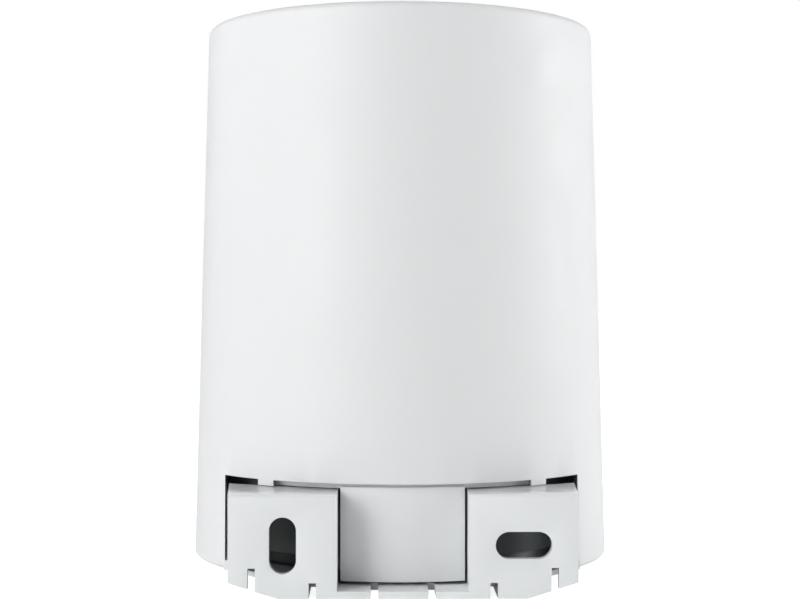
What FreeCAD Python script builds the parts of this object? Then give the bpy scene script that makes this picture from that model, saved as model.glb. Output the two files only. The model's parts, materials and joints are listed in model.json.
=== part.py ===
import FreeCAD, Part
import math
import os

# Motorised actuator head for a rotary valve. Millimetres, +Z up. The drive axis is x = y = 0,
# the valve flange is the plane z = 0, the wall pads face +Y and the cable enters at -Y.

V = FreeCAD.Vector

# Cover: a tapered round hood, open below
FOOT_RADIUS = 39.0
TOP_RADIUS = 36.3
COVER_FOOT = 1.75
COVER_TOP = 100.5
COVER_WALL = 2.0
SHOULDER_ROUND = 1.4
RIM_ROUND = 0.8
DIAL_RADIUS = 21.0
DIAL_FLOOR = 97.5
KNOB_HOLE = 14.0
WINDOW_HALF = 31.4
WINDOW_TOP = 18.4
TAB_X = 23.65
TAB_WIDTH = 2.8
TAB_DROP = 1.0
NOTCH_HALF = 14.0
NOTCH_TOP = 29.5
PANEL_BAND_HALF = 22.2
PANEL_GAP = 0.4
PANEL_CLEARANCE = 0.1
LENS_RADIUS = 2.5
LENS_HEIGHT = 78.0

# Wall bracket: two boxed pads on a ring
PAD_FACE = 43.4
PAD_INNER = 11.0
PAD_OUTER = 29.05
PAD_TOP = 17.3
PAD_FLARE = (30.35, 26.0)
PAD_WALL = 2.0
SIDE_WALL = 1.5
PAD_REAR_RADIUS = 60.0
PAD_REAR_CENTRE = -25.7
CORNER_START = 20.7
CORNER_RISE = 2.65
SLOT_WIDTH = 4.5
SLOT_LENGTH = 9.4
SLOT_X = 20.0
SLOT_HEIGHT = 8.85
NUB_REACH = 0.3
NUB_Y = (26.4, 28.0)
NUB_Z = (2.4, 3.9)
BREAK_WIDTH = 1.25
BREAKS = ((4.8, 1.2), (15.07, 2.65), (25.2, 5.1))
BREAK_REACH = 35.0
FLOOR = 1.2
RING_INNER = 27.0
RING_OUTER = 34.0
BRACKET_SCREW_RING = 30.3

# Base plate and drive socket
PLATE_RADIUS = 32.5
PLATE_TOP = 5.0
SKIRT_RADIUS = 34.8
SKIRT_TOP = 3.2
PLATEAU_RADIUS = 30.8
PLATEAU_TOP = 7.5
FLANGE_PCD = 36.0
INSERT_RADIUS = 3.2
INSERT_BORE = 2.1
BUSH_RADIUS = 11.0
HUB_RADIUS = 9.0
SQUARE = 9.1
SOCKET_DEPTH = 8.2
RUNNING = 0.05

# Gear case and frame
CASE_RADIUS = 33.0
CASE_WALL = 2.0
CASE_FRONT = -22.0
CASE_TOP = 32.0
MIDDLE_TOP = 34.0
DECK_BOTTOM = 84.0
DECK_TOP = 87.0
DECK_RADIUS = 31.0
CASE_SCREWS = ((26.5, 10.0), (-25.5, -14.5), (25.5, -14.5))
PILLARS = ((22.5, 16.5), (26.0, -8.5), (-26.0, -8.5), (-23.5, 13.0))
PILLAR_RADIUS = 3.0
THREAD = 1.25

# Gear train: (teeth, module) of each gear, all on a circle of one radius round the drive axis
OUTPUT_GEAR = (40, 0.7)
SECOND_PINION = (12, 0.7)
SECOND_WHEEL = (38, 0.6)
FIRST_PINION = (12, 0.6)
FIRST_WHEEL = (44, 0.5)
MOTOR_PINION = (12, 0.5)
FEEDBACK_GEAR = (20, 0.7)
PRESSURE_ANGLE = math.radians(20)
ADDENDUM = 0.9
DEDENDUM = 1.2
BACKLASH = 0.12
TRAIN_RADIUS = 18.2
MOTOR_ANGLE = 70.0
AXLE_RADIUS = 1.5
OUTPUT_GEAR_Z = (10.0, 15.0)
SECOND_PINION_Z = (9.6, 18.5)
SECOND_WHEEL_Z = (18.5, 22.5)
FIRST_PINION_Z = (18.5, 26.0)
FIRST_WHEEL_Z = (26.0, 29.0)
MOTOR_PINION_Z = (26.2, 30.5)
SEAT_RADIUS = 6.0
SHAFT_RADIUS = 4.0
SHAFT_TOP = 96.0
CIRCLIP_Z = (81.8, 82.6)
CIRCLIP_GROOVE = 3.6

# Clutch and release button
SLEEVE_RADIUS = 2.4
SLEEVE_TOP = 29.2
COLLAR_RADIUS = 3.2
COLLAR_Z = (17.5, 18.4)
RELEASE = V(-16.96, 20.36, 0)
YOKE_Z = (29.3, 31.0)
BUTTON_RADIUS = 3.2
BUTTON_Z = (96.0, 101.6)

# Motor and electronics
MOTOR_RADIUS = 12.15
MOTOR_WALL = 0.8
MOTOR_Z = (34.0, 62.0)
MOTOR_BOSS = 3.0
CAP_TOP = 64.5
BOARD_HALF = 20.0
BOARD_Y = (-17.6, -16.0)
BOARD_Z = (36.0, 82.0)
TERMINAL_HALF = 16.5
TERMINAL_PITCH = 5.5
TERMINAL_Y = (-29.0, -17.6)
TERMINAL_Z = (38.0, 50.0)
SWITCH = V(10.0, -17.6, 73.0)
SWITCH_HALF = 4.3
SLIDER_STROKE = 2.0
LEAD_RADIUS = 0.6

# Cable gland, on a horizontal axis along Y
GLAND_Z = 16.0
GLAND_BORE = 4.6
GLAND_THREAD = 7.9
GLAND_FLATS = 20.0
ENTRY_HALF = 13.5
ENTRY_TOP = 29.0
ENTRY_INNER = -34.6
ENTRY_FACE = -38.9
GLAND_END = -54.6

# Dial and knob
KNOB_RADIUS = 13.4
KNOB_Z = (92.0, 98.5)
GRIP_TOP = 102.5
GRIP_LENGTH = 24.0
GRIP_WIDTH = 5.0
REST_ANGLE = -135.0
TRAVEL = 90


def cylinder(radius, z0, z1, at=V(0, 0, 0)):
    return Part.makeCylinder(radius, z1 - z0, V(at.x, at.y, z0))


def tube(inner, outer, z0, z1, at=V(0, 0, 0)):
    return cylinder(outer, z0, z1, at).cut(cylinder(inner, z0, z1, at))


def rod_y(radius, y0, y1, x=0.0, z=0.0):
    return Part.makeCylinder(radius, y1 - y0, V(x, y0, z), V(0, 1, 0))


def box(x0, x1, y0, y1, z0, z1):
    return Part.makeBox(x1 - x0, y1 - y0, z1 - z0, V(x0, y0, z0))


def prism(points, z0, z1):
    """A polygon given in plan, raised from z0 to z1."""
    corners = [V(x, y, z0) for x, y in points]
    return Part.Face(Part.makePolygon(corners + corners[:1])).extrude(V(0, 0, z1 - z0))


def prism_y(points, y0, y1):
    """A polygon given in the XZ plane, drawn out from y0 to y1."""
    corners = [V(x, y0, z) for x, z in points]
    return Part.Face(Part.makePolygon(corners + corners[:1])).extrude(V(0, y1 - y0, 0))


def hexagon_y(flats, y0, y1, z):
    """A hexagonal bar along Y, by its size across flats."""
    corner = flats / math.sqrt(3)
    turns = [math.radians(60 * k) for k in range(6)]
    return prism_y([(corner * math.cos(t), z + corner * math.sin(t)) for t in turns], y0, y1)


def fuse(*shapes):
    return shapes[0].multiFuse(list(shapes[1:])).removeSplitter()


def cut(body, *tools):
    return body.cut(list(tools))


def polar(radius, degrees):
    angle = math.radians(degrees)
    return V(radius * math.cos(angle), radius * math.sin(angle), 0)


def turned(shape, degrees, at=V(0, 0, 0)):
    """A copy of a shape turned about a vertical line."""
    copy = shape.copy()
    copy.rotate(at, V(0, 0, 1), degrees)
    return copy


def cover_radius(z):
    share = (z - COVER_FOOT) / (COVER_TOP - COVER_FOOT)
    return FOOT_RADIUS + share * (TOP_RADIUS - FOOT_RADIUS)


def cover_cone(inset, z0, z1):
    """The cover's tapered outline moved inwards, between two heights."""
    return Part.makeCone(cover_radius(z0) - inset, cover_radius(z1) - inset, z1 - z0, V(0, 0, z0))


def edges_at(shape, z):
    """The edges of a shape that lie wholly at one height."""
    return [e for e in shape.Edges if abs(e.BoundBox.ZMin - z) + abs(e.BoundBox.ZMax - z) < 0.01]


# Gears


def pitch_radius(gear):
    return gear[0] * gear[1] / 2


def train_step(wheel, pinion):
    """The angle round the drive axis between the centres of two meshing gears."""
    return math.degrees(2 * math.asin((pitch_radius(wheel) + pitch_radius(pinion)) / (2 * TRAIN_RADIUS)))


FIRST_ANGLE = MOTOR_ANGLE + train_step(FIRST_WHEEL, MOTOR_PINION)
SECOND_ANGLE = FIRST_ANGLE + train_step(SECOND_WHEEL, FIRST_PINION)
MOTOR_AT = polar(TRAIN_RADIUS, MOTOR_ANGLE)
FIRST_AT = polar(TRAIN_RADIUS, FIRST_ANGLE)
SECOND_AT = polar(TRAIN_RADIUS, SECOND_ANGLE)
FEEDBACK_AT = V(pitch_radius(OUTPUT_GEAR) + pitch_radius(FEEDBACK_GEAR), 0, 0)


def involute(angle):
    return math.tan(angle) - angle


def flank(gear):
    """Half a tooth as (radius, angle from the tooth's centre line), from root to tip."""
    teeth, module = gear
    pitch = pitch_radius(gear)
    base = pitch * math.cos(PRESSURE_ANGLE)
    root = pitch - DEDENDUM * module
    tip = pitch + ADDENDUM * module
    half = (math.pi * module - BACKLASH) / 4 / pitch
    start = max(base, root)
    radii = [start + (tip - start) * share for share in (0.0, 0.35, 0.7, 1.0)]
    points = [(r, half + involute(PRESSURE_ANGLE) - involute(math.acos(min(1.0, base / r)))) for r in radii]
    return ([(root, points[0][1])] if root < base else []) + points


def gear_blank(gear, span, at, phase, bore):
    """A spur gear with one tooth's centre line at the angle phase."""
    side = flank(gear)
    points = []
    for tooth in range(gear[0]):
        middle = math.radians(phase + tooth * 360.0 / gear[0])
        for r, a in [(r, -a) for r, a in side] + side[::-1]:
            points.append((at.x + r * math.cos(middle + a), at.y + r * math.sin(middle + a)))
    return prism(points, *span).cut(cylinder(bore, span[0], span[1], at))


def meshing_phase(driver, driver_at, driver_phase, driven, driven_at):
    """The phase that puts a gear's tooth space on the driver's tooth."""
    line = math.degrees(math.atan2(driven_at.y - driver_at.y, driven_at.x - driver_at.x))
    share = ((line - driver_phase) * driver[0] / 360.0) % 1.0
    return line + 180.0 + (share + 0.5) * 360.0 / driven[0]


def webbed(gear, wheel, span, at, hub, holes):
    """A wheel with recessed faces and lightening holes between its hub and its rim."""
    rim = pitch_radius(gear) - 2.2 * gear[1]
    depth = (span[1] - span[0]) / 4
    low = tube(hub, rim, span[0], span[0] + depth, at)
    high = tube(hub, rim, span[1] - depth, span[1], at)
    middle = (hub + rim) / 2
    spots = [at + polar(middle, 360.0 * k / holes) for k in range(holes)]
    drilled = [cylinder((rim - hub) / 3.4, span[0], span[1], spot) for spot in spots]
    return cut(wheel, low, high, *drilled)


# Cover


def cover_shell():
    outer = cover_cone(0, COVER_FOOT, COVER_TOP)
    outer = outer.makeFillet(SHOULDER_ROUND, edges_at(outer, COVER_TOP)[:1])
    outer = outer.makeFillet(RIM_ROUND, edges_at(outer, COVER_FOOT)[:1])
    ceiling = COVER_TOP - COVER_WALL
    pocket_floor = DIAL_FLOOR - COVER_WALL
    hollow = cover_cone(COVER_WALL, COVER_FOOT - 1, ceiling)
    hollow = hollow.cut(cylinder(DIAL_RADIUS + 1.6, pocket_floor, ceiling))
    tabs = [
        box(x - TAB_WIDTH / 2, x + TAB_WIDTH / 2, 0, FOOT_RADIUS, WINDOW_TOP - TAB_DROP, WINDOW_TOP)
        for x in (-TAB_X, TAB_X)
    ]
    window = cut(box(-WINDOW_HALF, WINDOW_HALF, 0, FOOT_RADIUS + 1, 0, WINDOW_TOP), *tabs)
    return cut(
        outer,
        hollow,
        cylinder(DIAL_RADIUS, DIAL_FLOOR, COVER_TOP + 1),
        cylinder(KNOB_HOLE, pocket_floor - 1, COVER_TOP),
        cylinder(BUTTON_RADIUS + 0.2, ceiling - 1, COVER_TOP + 1, RELEASE),
        rod_y(LENS_RADIUS + 0.1, -FOOT_RADIUS, -30, 0, LENS_HEIGHT),
        window,
        box(-NOTCH_HALF, NOTCH_HALF, -FOOT_RADIUS - 1, 0, 0, NOTCH_TOP),
    )


def rear_panel():
    """The curved tongue between the pads, hung from a band inside the cover."""
    low, high = PAD_TOP + PANEL_CLEARANCE, 26.0
    band = cut(cover_cone(COVER_WALL, low, high), cylinder(35.0, low, high))
    band = band.common(box(-PANEL_BAND_HALF, PANEL_BAND_HALF, 0, FOOT_RADIUS, low, high))
    half = PAD_INNER - PANEL_GAP
    tongue = tube(35.4, 37.4, COVER_FOOT, low + 0.4).common(
        box(-half, half, 0, FOOT_RADIUS, COVER_FOOT, low + 0.4)
    )
    return fuse(band, tongue)


def dial_ring():
    """The scale round the knob, with a raised tick every fifteen degrees of travel."""
    face = DIAL_FLOOR + 0.6
    ring = tube(KNOB_HOLE + 0.6, DIAL_RADIUS - 0.4, DIAL_FLOOR, face)
    tick = box(18.4, 20.2, -0.25, 0.25, face, face + 0.2)
    ticks = [turned(tick, REST_ANGLE + step) for step in range(0, TRAVEL + 1, 15)]
    return fuse(ring, *ticks)


def led_lens():
    front = -cover_radius(LENS_HEIGHT) - 0.6
    stem = rod_y(LENS_RADIUS, front, -34.6, 0, LENS_HEIGHT)
    nose = [e for e in stem.Edges if abs(e.BoundBox.YMax - front) < 0.01]
    stem = stem.makeFillet(1.0, nose[:1])
    return fuse(stem, rod_y(LENS_RADIUS + 0.8, -34.6, -33.6, 0, LENS_HEIGHT))


# Wall bracket


def pad_block(inset, front, z0, z1):
    """One pad's outline in plan, for x > 0, moved inwards and raised."""
    flare_x, flare_y = PAD_FLARE
    points = [
        (PAD_INNER + inset, 20),
        (PAD_INNER + inset, front),
        (PAD_OUTER - inset, front),
        (flare_x - inset, flare_y),
        (flare_x - inset, 20),
    ]
    return prism(points, z0, z1)


def bracket_pad():
    """A boxed pad open at the back, its roof cut to a wide arc and a nub low on its flank."""
    outer = pad_block(0, PAD_FACE, 0, PAD_TOP)
    corner = [e for e in outer.Edges if e.BoundBox.YMin > PAD_FACE - 0.01 and e.BoundBox.ZMin > 1]
    outer = outer.makeFillet(0.5, corner)
    inner = pad_block(SIDE_WALL, PAD_FACE - PAD_WALL, FLOOR, PAD_TOP - SIDE_WALL)
    rear = Part.makeCylinder(PAD_REAR_RADIUS, PAD_TOP + 2, V(0, PAD_REAR_CENTRE, -1))
    slope = CORNER_RISE / (PAD_OUTER - CORNER_START)
    far = FOOT_RADIUS
    corner_cut = prism_y(
        [(CORNER_START, 0), (far, (far - CORNER_START) * slope), (far, -1), (CORNER_START, -1)],
        PAD_FLARE[1] - 1,
        PAD_FACE + 1,
    )
    nub = box(PAD_OUTER - 1.0, WINDOW_HALF - NUB_REACH, *NUB_Y, *NUB_Z)
    return fuse(cut(outer, inner, rear, corner_cut), nub)


def slot_hole(x, wide, tall):
    """A round-ended slot through a pad's front wall."""
    radius = SLOT_WIDTH / 2
    y0, y1 = PAD_FACE - PAD_WALL - 1, PAD_FACE + 1
    dx, dz = wide / 2 - radius, tall / 2 - radius
    ends = [rod_y(radius, y0, y1, x + s * dx, SLOT_HEIGHT + s * dz) for s in (-1, 1)]
    half_x, half_z = max(dx, radius * (dx == 0)), max(dz, radius * (dz == 0))
    middle = box(x - half_x, x + half_x, y0, y1, SLOT_HEIGHT - half_z, SLOT_HEIGHT + half_z)
    return fuse(middle, *ends)


def break_notches():
    """Narrow notches in the lower edge, open to the front."""
    notches = []
    for x, height in BREAKS:
        back = math.sqrt(BREAK_REACH**2 - x**2)
        for centre in (-x, x):
            half = BREAK_WIDTH / 2
            notches.append(box(centre - half, centre + half, back, PAD_FACE + 1, -1, height))
    return notches


def screw_spots():
    return [polar(BRACKET_SCREW_RING, 45 + 90 * k) for k in range(4)]


def countersunk(at):
    """A countersunk screw driven up from z = 0."""
    head = Part.makeCone(2.6, THREAD, 1.15, V(at.x, at.y, 0))
    return fuse(head, cylinder(THREAD, 1.0, 4.4, at))


def mounting_bracket():
    pad = bracket_pad()
    mirror = pad.mirror(V(0, 0, 0), V(1, 0, 0))
    shelf = box(-CORNER_START, CORNER_START, 20, PAD_FACE, 0, FLOOR)
    ring = cylinder(RING_OUTER, 0, FLOOR)
    front_tab = box(-ENTRY_HALF, ENTRY_HALF, -38.2, -30, 0, FLOOR)
    body = fuse(pad, mirror, shelf, ring, front_tab)
    slots = [slot_hole(SLOT_X, SLOT_WIDTH, SLOT_LENGTH), slot_hole(-SLOT_X, SLOT_LENGTH, SLOT_WIDTH)]
    screws = [countersunk(at) for at in screw_spots()]
    return cut(body, cylinder(RING_INNER, 0, FLOOR), *slots, *break_notches(), *screws)


def screw_drive(at, top, depth=0.8):
    """A cross recess in the top of a vertical screw's head."""
    arm = box(at.x - 1.1, at.x + 1.1, at.y - 0.25, at.y + 0.25, top - depth, top)
    return fuse(arm, turned(arm, 90, at))


def bracket_screws():
    screws = [cut(countersunk(at), screw_drive(at, 0.7)) for at in screw_spots()]
    return Part.makeCompound(screws)


# Base plate, bushes and case


def insert_spots():
    return [polar(FLANGE_PCD / 2, 45 + 90 * k) for k in range(4)]


def axle_spots():
    return [FIRST_AT, SECOND_AT]


def base_plate():
    plateau = cylinder(PLATEAU_RADIUS, PLATE_TOP, PLATEAU_TOP)
    plateau = plateau.common(box(-40, 40, CASE_FRONT + CASE_WALL + 0.2, 40, PLATE_TOP, PLATEAU_TOP))
    boss = cylinder(RING_INNER - 0.2, 0, FLOOR)
    skirt = case_outline(SKIRT_RADIUS, -PLATE_RADIUS, FLOOR, SKIRT_TOP)
    body = fuse(cylinder(PLATE_RADIUS, FLOOR, PLATE_TOP), plateau, boss, skirt)
    holes = [cylinder(BUSH_RADIUS, 0, PLATEAU_TOP)]
    holes += [cylinder(INSERT_RADIUS, 0, PLATEAU_TOP, at) for at in insert_spots()]
    holes += [cylinder(AXLE_RADIUS, 3.0, PLATEAU_TOP, at) for at in axle_spots()]
    holes += [cylinder(THREAD, FLOOR, 4.4, at) for at in screw_spots()]
    holes.append(cylinder(AXLE_RADIUS + RUNNING, 5.5, PLATEAU_TOP, FEEDBACK_AT))
    return cut(body, *holes)


def flange_inserts():
    """Threaded inserts for the valve flange's screws, with a groove round each."""
    inserts = []
    for at in insert_spots():
        sleeve = tube(INSERT_BORE, INSERT_RADIUS, 0, PLATEAU_TOP, at)
        inserts.append(sleeve.cut(tube(INSERT_RADIUS - 0.4, INSERT_RADIUS, 3.2, 4.3, at)))
    return Part.makeCompound(inserts)


def lower_bush():
    bore = HUB_RADIUS + RUNNING
    sleeve = tube(bore, BUSH_RADIUS, 0.3, PLATEAU_TOP)
    return fuse(sleeve, tube(bore, BUSH_RADIUS + 1.5, PLATEAU_TOP, PLATEAU_TOP + 1))


def case_outline(radius, front, z0, z1):
    """A round plan cut flat at the front."""
    return cylinder(radius, z0, z1).common(box(-40, 40, front, 40, z0, z1))


def gear_case():
    outer = case_outline(CASE_RADIUS, CASE_FRONT, PLATE_TOP, CASE_TOP)
    inner = case_outline(CASE_RADIUS - CASE_WALL, CASE_FRONT + CASE_WALL, PLATE_TOP, CASE_TOP)
    wall = outer.cut(inner)
    bosses = [
        cylinder(3.4, PLATEAU_TOP + 0.5, CASE_TOP, V(x, y, 0)).common(outer) for x, y in CASE_SCREWS
    ]
    body = fuse(wall, *bosses)
    return cut(body, *[cylinder(THREAD, 24, CASE_TOP, V(x, y, 0)) for x, y in CASE_SCREWS])


def middle_plate():
    plate = case_outline(CASE_RADIUS, CASE_FRONT, CASE_TOP, MIDDLE_TOP)
    holes = [cylinder(SHAFT_RADIUS + 0.5, CASE_TOP, MIDDLE_TOP)]
    holes.append(cylinder(MOTOR_BOSS, CASE_TOP, MIDDLE_TOP, MOTOR_AT))
    holes.append(cylinder(AXLE_RADIUS + RUNNING, CASE_TOP, MIDDLE_TOP, FEEDBACK_AT))
    holes.append(cylinder(AXLE_RADIUS + RUNNING, CASE_TOP, MIDDLE_TOP, RELEASE))
    holes += [cylinder(AXLE_RADIUS, CASE_TOP, MIDDLE_TOP, at) for at in axle_spots()]
    holes += [cylinder(THREAD, CASE_TOP, MIDDLE_TOP, V(x, y, 0)) for x, y in CASE_SCREWS]
    return cut(plate, *holes)


def pan_screw(at, seat, head, height, depth):
    """A pan-head screw standing on a seat, its thread going down."""
    top = cylinder(head, seat, seat + height, at)
    top = top.makeFillet(height * 0.4, edges_at(top, seat + height)[:1])
    body = fuse(top, cylinder(THREAD, seat - depth, seat + 0.2, at))
    return body.cut(screw_drive(at, seat + height))


def case_screws():
    return Part.makeCompound([pan_screw(V(x, y, 0), MIDDLE_TOP, 2.4, 1.8, 10) for x, y in CASE_SCREWS])


def gear_axles():
    return Part.makeCompound([cylinder(AXLE_RADIUS, 3.0, MIDDLE_TOP, at) for at in axle_spots()])


def support_pillars():
    pillars = []
    for x, y in PILLARS:
        at = V(x, y, 0)
        post = cylinder(PILLAR_RADIUS, MIDDLE_TOP, DECK_BOTTOM, at)
        pillars.append(post.cut(cylinder(THREAD, DECK_BOTTOM - 6, DECK_BOTTOM, at)))
    return Part.makeCompound(pillars)


def upper_deck():
    deck = cylinder(DECK_RADIUS, DECK_BOTTOM, DECK_TOP)
    holes = [cylinder(SEAT_RADIUS, DECK_BOTTOM, DECK_TOP)]
    holes.append(cylinder(AXLE_RADIUS + RUNNING, DECK_BOTTOM, DECK_TOP, RELEASE))
    holes += [cylinder(THREAD, DECK_BOTTOM, DECK_TOP, V(x, y, 0)) for x, y in PILLARS]
    return cut(deck, *holes)


def deck_screws():
    return Part.makeCompound([pan_screw(V(x, y, 0), DECK_TOP, 2.6, 1.8, 9) for x, y in PILLARS])


def upper_bush():
    bore = SHAFT_RADIUS + RUNNING
    sleeve = tube(bore, SEAT_RADIUS, DECK_BOTTOM - 1, DECK_TOP)
    return fuse(sleeve, tube(bore, SEAT_RADIUS + 1.5, DECK_TOP, DECK_TOP + 1.5))


# Output


def output_shaft():
    hub = cylinder(HUB_RADIUS, 0.3, 9.5)
    seat = cylinder(SEAT_RADIUS, 9.5, 16)
    shaft = cylinder(SHAFT_RADIUS, 16, SHAFT_TOP)
    half = SQUARE / 2
    square = box(-half, half, -half, half, 0, 0.3 + SOCKET_DEPTH)
    groove = tube(CIRCLIP_GROOVE, SHAFT_RADIUS + 1, *CIRCLIP_Z)
    flat = box(SHAFT_RADIUS - 0.7, SHAFT_RADIUS, -SHAFT_RADIUS, SHAFT_RADIUS, KNOB_Z[0], SHAFT_TOP)
    return cut(fuse(hub, seat, shaft), square, turned(square, 45), groove, turned(flat, REST_ANGLE))


def output_gear():
    wheel = gear_blank(OUTPUT_GEAR, OUTPUT_GEAR_Z, V(0, 0, 0), 0.0, SEAT_RADIUS)
    return webbed(OUTPUT_GEAR, wheel, OUTPUT_GEAR_Z, V(0, 0, 0), SEAT_RADIUS + 1.6, 8)


def output_circlip():
    ring = tube(CIRCLIP_GROOVE, SHAFT_RADIUS + 1.6, *CIRCLIP_Z)
    gap = box(-1.0, 1.0, 0, SHAFT_RADIUS + 2, *CIRCLIP_Z)
    return ring.cut(gap)


def pointer_inlay():
    tip, tail, half = GRIP_LENGTH / 2 - 1.2, 3.0, 1.3
    points = [(tip, 0), (tip - 3, half), (tip - 3, 0.5), (tail, 0.5), (tail, -0.5), (tip - 3, -0.5)]
    return turned(prism(points + [(tip - 3, -half)], GRIP_TOP - 0.3, GRIP_TOP), REST_ANGLE)


def position_knob():
    disc = cylinder(KNOB_RADIUS, *KNOB_Z)
    disc = disc.makeFillet(0.8, edges_at(disc, KNOB_Z[1])[:1])
    half_length, half_width = GRIP_LENGTH / 2, GRIP_WIDTH / 2
    grip = box(-half_length, half_length, -half_width, half_width, KNOB_Z[1] - 1, GRIP_TOP)
    upright = [e for e in grip.Edges if e.BoundBox.ZLength > 1]
    grip = grip.makeFillet(half_width - 0.1, upright)
    flutes = [cylinder(1.0, KNOB_Z[0] + 3.5, KNOB_Z[1], polar(KNOB_RADIUS + 0.5, 12 * k)) for k in range(30)]
    knob = cut(fuse(disc, turned(grip, REST_ANGLE)), *flutes)
    bore = cylinder(SHAFT_RADIUS, KNOB_Z[0], SHAFT_TOP)
    flat = box(SHAFT_RADIUS - 0.7, SHAFT_RADIUS, -SHAFT_RADIUS, SHAFT_RADIUS, KNOB_Z[0], SHAFT_TOP)
    return cut(knob, bore.cut(turned(flat, REST_ANGLE)), pointer_inlay())


# Intermediate gears, clutch and rotor


def second_pinion():
    phase = meshing_phase(OUTPUT_GEAR, V(0, 0, 0), 0.0, SECOND_PINION, SECOND_AT)
    teeth = gear_blank(SECOND_PINION, SECOND_PINION_Z, SECOND_AT, phase, AXLE_RADIUS + RUNNING)
    hub = tube(AXLE_RADIUS + RUNNING, 2.9, SECOND_WHEEL_Z[0], SECOND_WHEEL_Z[1] + 0.6, SECOND_AT)
    return fuse(teeth, hub)


def second_wheel():
    wheel = gear_blank(SECOND_WHEEL, SECOND_WHEEL_Z, SECOND_AT, 0.0, 2.9)
    return webbed(SECOND_WHEEL, wheel, SECOND_WHEEL_Z, SECOND_AT, 4.0, 6)


def first_pinion():
    phase = meshing_phase(SECOND_WHEEL, SECOND_AT, 0.0, FIRST_PINION, FIRST_AT)
    teeth = gear_blank(FIRST_PINION, FIRST_PINION_Z, FIRST_AT, phase, SLEEVE_RADIUS + RUNNING)
    hub = tube(SLEEVE_RADIUS + RUNNING, 2.87, *FIRST_WHEEL_Z, FIRST_AT)
    return fuse(teeth, hub)


def first_wheel():
    wheel = gear_blank(FIRST_WHEEL, FIRST_WHEEL_Z, FIRST_AT, 0.0, 2.87)
    return webbed(FIRST_WHEEL, wheel, FIRST_WHEEL_Z, FIRST_AT, 3.9, 6)


def clutch_sleeve():
    bore = AXLE_RADIUS + 0.02
    collar = tube(bore, COLLAR_RADIUS, *COLLAR_Z, FIRST_AT)
    return fuse(collar, tube(bore, SLEEVE_RADIUS, COLLAR_Z[0], SLEEVE_TOP, FIRST_AT))


def clutch_spring():
    """The space that the clutch spring's coils fill round the axle."""
    return tube(1.8, 2.6, PLATEAU_TOP, COLLAR_Z[0], FIRST_AT)


def motor_pinion():
    phase = meshing_phase(FIRST_WHEEL, FIRST_AT, 0.0, MOTOR_PINION, MOTOR_AT)
    return gear_blank(MOTOR_PINION, MOTOR_PINION_Z, MOTOR_AT, phase, 1.0)


def motor_shaft():
    return cylinder(1.0, MOTOR_PINION_Z[0] - 0.4, CAP_TOP - 1.2, MOTOR_AT)


def motor_armature():
    """The laminated core, with winding slots between its poles."""
    core = tube(1.0, 8.6, 40, 56, MOTOR_AT)
    slots = [box(MOTOR_AT.x + 4.2, MOTOR_AT.x + 8.7, MOTOR_AT.y - 0.6, MOTOR_AT.y + 0.6, 40, 56)]
    slots += [turned(slots[0], 72 * k, MOTOR_AT) for k in range(1, 5)]
    return cut(core, *slots)


def feedback_gear():
    phase = meshing_phase(OUTPUT_GEAR, V(0, 0, 0), 0.0, FEEDBACK_GEAR, FEEDBACK_AT)
    return gear_blank(FEEDBACK_GEAR, OUTPUT_GEAR_Z, FEEDBACK_AT, phase, AXLE_RADIUS)


def feedback_shaft():
    return cylinder(AXLE_RADIUS, 5.8, 36, FEEDBACK_AT)


# Release


def release_button():
    head = cylinder(BUTTON_RADIUS, *BUTTON_Z, RELEASE)
    return head.makeFillet(0.8, edges_at(head, BUTTON_Z[1])[:1])


def release_rod():
    return cylinder(AXLE_RADIUS, YOKE_Z[0], BUTTON_Z[0], RELEASE)


def release_yoke():
    """A cranked plate from the rod to the clutch sleeve's axis."""
    arm = FIRST_AT - RELEASE
    angle = math.degrees(math.atan2(arm.y, arm.x))
    bar = box(RELEASE.x, RELEASE.x + arm.Length, RELEASE.y - 1.8, RELEASE.y + 1.8, *YOKE_Z)
    body = fuse(
        turned(bar, angle, RELEASE),
        cylinder(2.6, *YOKE_Z, RELEASE),
        cylinder(3.0, *YOKE_Z, FIRST_AT),
    )
    return cut(
        body,
        cylinder(AXLE_RADIUS, *YOKE_Z, RELEASE),
        cylinder(AXLE_RADIUS + 0.2, *YOKE_Z, FIRST_AT),
    )


def release_spring():
    """The space that the button's return spring fills round the rod."""
    return tube(1.8, 2.6, DECK_TOP, BUTTON_Z[0], RELEASE)


# Motor


def motor_can():
    z0, z1 = MOTOR_Z
    can = cylinder(MOTOR_RADIUS, z0, z1, MOTOR_AT)
    can = can.makeFillet(1.0, edges_at(can, z0)[:1])
    body = fuse(can, cylinder(MOTOR_BOSS, CASE_TOP, z0 + 0.5, MOTOR_AT))
    return cut(
        body,
        cylinder(MOTOR_RADIUS - MOTOR_WALL, z0 + MOTOR_WALL, z1, MOTOR_AT),
        cylinder(1.0 + RUNNING, CASE_TOP, z1, MOTOR_AT),
    )


def motor_magnets():
    ring = tube(9.1, MOTOR_RADIUS - MOTOR_WALL, 39, 57, MOTOR_AT)
    gap = box(MOTOR_AT.x - 4.5, MOTOR_AT.x + 4.5, MOTOR_AT.y - 13, MOTOR_AT.y + 13, 39, 57)
    return ring.cut(gap)


def motor_end_cap():
    cap = cylinder(MOTOR_RADIUS, MOTOR_Z[1], CAP_TOP, MOTOR_AT)
    cap = cap.makeFillet(0.8, edges_at(cap, CAP_TOP)[:1])
    return cap.cut(cylinder(1.0 + RUNNING, MOTOR_Z[1], CAP_TOP - 1.0, MOTOR_AT))


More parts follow.
